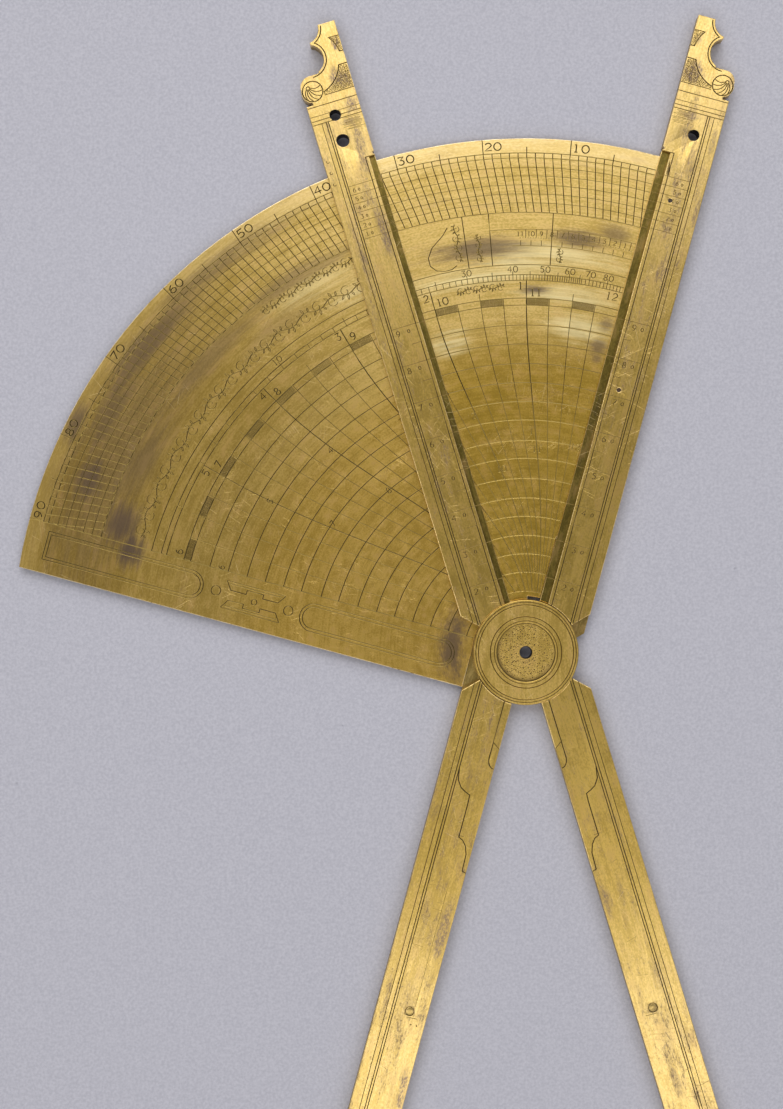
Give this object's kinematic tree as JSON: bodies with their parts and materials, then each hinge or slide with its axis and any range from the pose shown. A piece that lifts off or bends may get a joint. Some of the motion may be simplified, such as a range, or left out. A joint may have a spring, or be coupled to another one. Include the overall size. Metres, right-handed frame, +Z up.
{
  "type": "dialling quadrant",
  "caption": "Flat brass dialling quadrant: a graduated quarter-circle plate held in one of two crossed bars, with the other bar turning on a hollow pivot as its index.",
  "frame": {"origin": "on the axis of the hollow pivot, in the plane of the underside that the instrument lies on", "axes": "+Z up through the thickness, towards the engraved face; +Y midway between the two arms at rest, towards the finials; +X to the right when seen from above"},
  "size_m": [0.2538, 0.4455, 0.0058],
  "materials": {
    "engraved_brass": "polished and engraved, dark cuts, worn",
    "plate_brass": "brushed round the pivot, engraved, olive patina and dark stains",
    "cover_brass": "turned, with a punched recess",
    "back_brass": "plain brushed, worn",
    "core_brass": "filed, olive patina",
    "rivet_brass": "filed flush",
    "pin_steel": "blackened",
    "point_steel": "filed, bright with grey patina"
  },
  "bodies": {
    "base": {"base_core": "core_brass", "base_arm_front": "engraved_brass", "base_arm_back": "back_brass", "base_leg_front": "engraved_brass", "base_leg_back": "back_brass", "quadrant_plate": "plate_brass", "plate_pins": "pin_steel", "base_arm_rivets": "rivet_brass", "base_block_rivets": "rivet_brass", "base_leg_rivets": "rivet_brass", "base_leg_plug": "rivet_brass", "base_point": "point_steel"},
    "index": {"index_front": "engraved_brass", "index_back": "back_brass", "index_block_core": "core_brass", "index_leg_core": "core_brass", "index_block_rivets": "rivet_brass", "index_leg_rivets": "rivet_brass", "index_leg_plug": "rivet_brass", "index_point": "point_steel", "pivot_tube": "rivet_brass", "hinge_cover": "cover_brass"}
  },
  "joints": [
    {"name": "index_turn", "type": "hinge", "parent": "base", "child": "index", "pos_m": [0, 0, 0.0027], "axis": [0, 0, 1], "range_deg": [-32, 58]}
  ]
}
